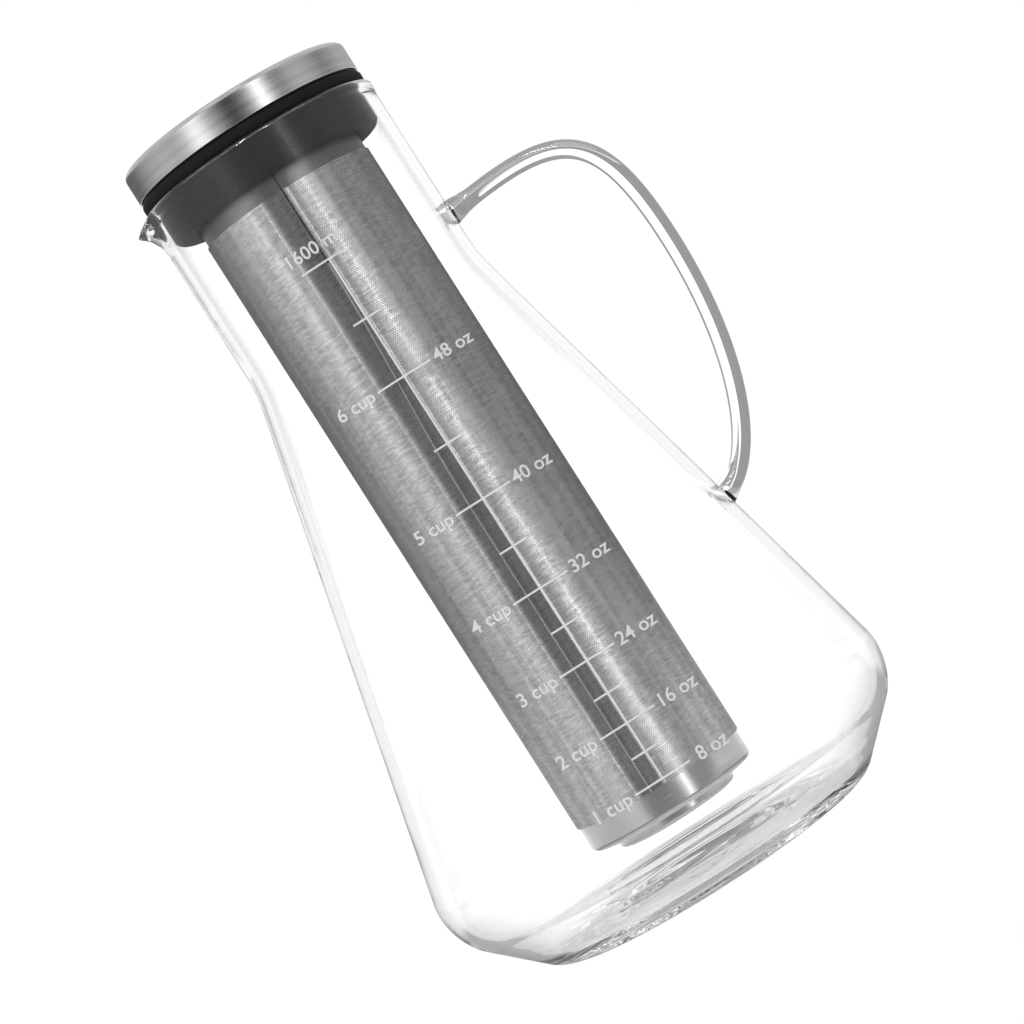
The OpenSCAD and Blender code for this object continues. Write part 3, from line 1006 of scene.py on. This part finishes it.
def by_path(n, off_steel, in_rod, in_edge, in_wall):
    """The level that a ray meets: off steel, or through glass alone, where it came through the solid rod, was
    turned back inside a wall's edge, or came through walls."""
    through = path(n, "Is Transmission Ray")
    crossings = path(n, "Transmission Depth")
    turns = path(n, "Glossy Depth")
    rod = through * (crossings < TWO_AT_MOST) * (turns < NONE)
    edge = through * (crossings < TWO_AT_MOST) * (turns > NONE)
    wall = through * (crossings > TWO_AT_MOST) * (turns < NONE)
    return off_steel * (1 - rod - edge - wall) + rod * in_rod + edge * in_edge + wall * in_wall


# What steel sees, the cap in the open and the filter through the glass: brightness by bearing in degrees,
# 0 at the camera, + towards the handle
ROUND_CAP = [(-180, 0.16), (-133, 0.18), (-103, 0.54), (-80, 0.7), (-62, 0.6), (-50, 0.8), (-41, 1.7),
             (-33, 1.7), (-24, 0.75), (-13, 0.36), (-4, 0.03), (4, 0.05), (15, 0.3), (23, 0.9), (30, 3.0),
             (37, 0.9), (44, 0.3), (52, 0.3), (64, 0.66), (80, 0.62), (102, 0.3), (130, 0.6), (180, 0.5)]
ROUND_FILTER = [(-180, 0.4), (-130, 0.44), (-104, 0.55), (-84, 0.75), (-64, 1.5), (-40, 1.6), (-30, 0.75),
                (-22, 0.42), (2, 0.46), (16, 0.75), (24, 2.0), (28, 5.0), (32, 2.0), (37, 0.65), (75, 0.55),
                (100, 0.46), (130, 0.42), (180, 0.4)]


def by_bearing(n, bearing, levels):
    stops = [(0.5 + degrees / 360, level / BRIGHTEST) for degrees, level in levels]
    return n.add("ValToRGB", {"stops": stops}, {0: bearing / TURN + 0.5}) * BRIGHTEST


def white_floor():
    """White to the camera. To glass, white at a glance along it and grey straight down, as over a table's
    edge. To steel, the soft boxes go on in its front strip."""
    material = bpy.data.materials.new("floor_white")
    material.use_nodes = True
    tree = material.node_tree
    tree.nodes.clear()
    n = Nodes(tree)
    steep = 1 - n.add("LayerWeight", None, {"Blend": 0.5}, output="Facing")
    place = n.add("NewGeometry", output="Position")
    x, y, _ = n.split(place)
    back_x, back_y, _ = n.split(n.add("NewGeometry", output="Incoming"))
    bearing = n.bearing(-1 * back_x, -1 * back_y)
    away = n.add("VectorMath", {"operation": "LENGTH"}, {0: place}, output="Value")
    near, past = (share * FOOT_R for share in FOOT_RIM)
    beyond = n.add("MapRange", None, {"Value": away, "From Min": near, "From Max": past})
    level = between(BEHIND, FLAG, n.ease(steep * beyond, FLAG_SLOPES))
    in_front = (y < STRIP_Y) * n.ease(steep, STRIP_SLOPES)
    level = between(level, by_bearing(n, bearing, ROUND_FILTER), in_front)
    mirrored = path(n, "Is Singular Ray") * (path(n, "Transmission Depth") < NONE)
    level = between(level, GLEAM, mirrored)
    in_wall = between(BEHIND, BASE_SHADE, n.ease(steep, BASE_SLOPES))
    under_arm = n.ease(steep, ROD_SLOPES) * (x < ARM_X + ARM_SPLAY * y) * (y > ARM_Y)
    reach = ((x - ROD_X) * (x - ROD_X) + FOOT_Z * FOOT_Z).of("SQRT") / y.of("MAXIMUM", LEAST_Y)
    under_bend = n.ease(reach, ROD_TURNS) * (x > BEND_X) * (y > BEND_Y)
    in_rod = between(BEHIND, ROD_SHADE, (under_arm + under_bend).of("MINIMUM", 1.0))
    outwards = (abs(x) - BELLY_R) / y
    drawn = n.ease(steep, EDGE_SLOPES) * n.ease(outwards, EDGE_SPLAYS) + n.ease(steep, CORNER_SLOPES)
    in_edge = between(EDGE, OUTLINE, drawn.of("MINIMUM", 1.0))
    level = by_path(n, level, in_rod, in_edge, in_wall)
    matt = n.add("BsdfDiffuse", None, {"Color": grey(FLOOR_MATT)})
    glow = n.add("Emission", None, {"Color": between(level, FLOOR_WHITE, path(n, "Is Camera Ray"))})
    shown = n.add("MixShader", None, {0: FLOOR_GLOW * seen(n), 1: matt, 2: glow})
    output = tree.nodes.new("ShaderNodeOutputMaterial")
    tree.links.new(shown.socket, output.inputs["Surface"])
    return material


def make_floor():
    deselect()
    bpy.ops.mesh.primitive_plane_add(size=1)
    floor = bpy.context.object
    floor.name = "floor"
    floor.scale = (2 * FLOOR_HALF_W, FLOOR_BACK - FLOOR_FRONT, 1)
    floor.location = (0, (FLOOR_BACK + FLOOR_FRONT) / 2, -FLOOR_DROP)
    floor.data.materials.append(white_floor())


def make_surround():
    """White to the camera; to steel, soft boxes and dark gaps; to glass, white with dark flags beside it."""
    world = bpy.data.worlds.new("surround")
    scene.world = world
    world.use_nodes = True
    tree = world.node_tree
    tree.nodes.clear()
    n = Nodes(tree)
    x, y, z = n.split(n.add("TexCoord", output="Generated"))
    bearing = n.bearing(x, y)
    bare = path(n, "Transmission Depth") < NONE
    mirrored = path(n, "Is Singular Ray") * bare
    around = between(by_bearing(n, bearing, ROUND_FILTER), by_bearing(n, bearing, ROUND_CAP), bare)
    canopy = (z > CANOPY_LOW) * (z < CANOPY_TOP) * (y < 0)
    around = between(around, between(CANOPY, BARE_CANOPY, bare), canopy)
    lamps = sum(abs(bearing - middle) < half for middle, half in RIM_LAMPS)
    gleam = GLEAM + MIRRORED * around + canopy * (RIM_GLOW + RIM_LAMP * lamps)
    around = between(around, gleam, mirrored)
    around = between(around, SKY, (bare - mirrored) * (z > SKY_LOW) * (y > 0))
    ahead = y.of("MAXIMUM", LEAST_AHEAD)
    beside = x / ahead
    above = z / ahead
    turned = (beside * beside + above * above).of("SQRT")
    outer_side = n.ease(-math.cos(GRIP_LEAN) * beside - math.sin(GRIP_LEAN) * above, ROD_SIDES)
    dark = outer_side + n.ease(turned, ROD_TURNS) + n.ease(above, ROD_RISES)
    in_rod = between(BEHIND, between(ROD_SHADE, ROD_FRONT, y < 0), dark.of("MINIMUM", 1.0))
    neck_line = n.ease(beside, NECK_LEFT) * n.ease(beside, NECK_FAR_LEFT) * n.ease(above, NECK_RISES)
    in_edge = between(between(BEHIND, EDGE, n.ease(turned, EDGE_TURNS)), OUTLINE, neck_line)
    in_edge = between(in_edge, gleam, n.ease(turned, RIM_TURNS))
    in_wall = between(BEHIND, WALL_TOP, n.ease(abs(z), OVERHEAD))
    level = by_path(n, around, in_rod, in_edge, in_wall)
    level = between(between(AMBIENT, level, seen(n)), 1.0, path(n, "Is Camera Ray"))
    background = n.add("Background", None, {"Color": level})
    output = tree.nodes.new("ShaderNodeOutputWorld")
    tree.links.new(background.socket, output.inputs["Surface"])


def soft_box(name, bearing, away, height, size, power):
    """A tall area light, aimed at the carafe. Bearing 0 is the camera's side, + towards the handle."""
    angle = math.radians(bearing)
    lamp = bpy.data.lights.new(name, "AREA")
    lamp.shape = "RECTANGLE"
    lamp.size, lamp.size_y = size
    lamp.energy = power
    holder = bpy.data.objects.new(name, lamp)
    scene.collection.objects.link(holder)
    holder.location = (away * math.sin(angle), -away * math.cos(angle), height)
    holder.visible_glossy = holder.visible_transmission = False
    aim = Vector((0, 0, GLASS_H / 2)) - holder.location
    holder.rotation_euler = aim.to_track_quat("-Z", "Y").to_euler()


make_floor()
make_surround()
soft_box("soft_box_left", bearing=-50, away=1.3, height=0.6, size=(0.6, 1.0), power=3)
soft_box("soft_box_right", bearing=24, away=1.3, height=0.6, size=(0.3, 1.0), power=2)

# Camera: level with the carafe's middle and rolled, so that the carafe leans to the left in the frame
PHOTO_SIZE = 1024
LENS_PIXELS = 3200
MM_PER_PIXEL = 0.2825
ROLL = math.radians(32.5)
AIM_X = 5.8 * MM
AIM_Z = 115.2 * MM
CAMERA_Z = 110.9 * MM
lens = bpy.data.cameras.new("camera")
camera = bpy.data.objects.new("camera", lens)
scene.collection.objects.link(camera)
scene.camera = camera
lens.sensor_width = 36
lens.lens = LENS_PIXELS / PHOTO_SIZE * lens.sensor_width
camera.location = (AIM_X, -LENS_PIXELS * MM_PER_PIXEL * MM, CAMERA_Z)
ahead = (Vector((AIM_X, 0, AIM_Z)) - camera.location).normalized()
looking = ahead.to_track_quat("-Z", "Y").to_matrix()
camera.rotation_euler = (looking @ Matrix.Rotation(-ROLL, 3, "Z")).to_euler()
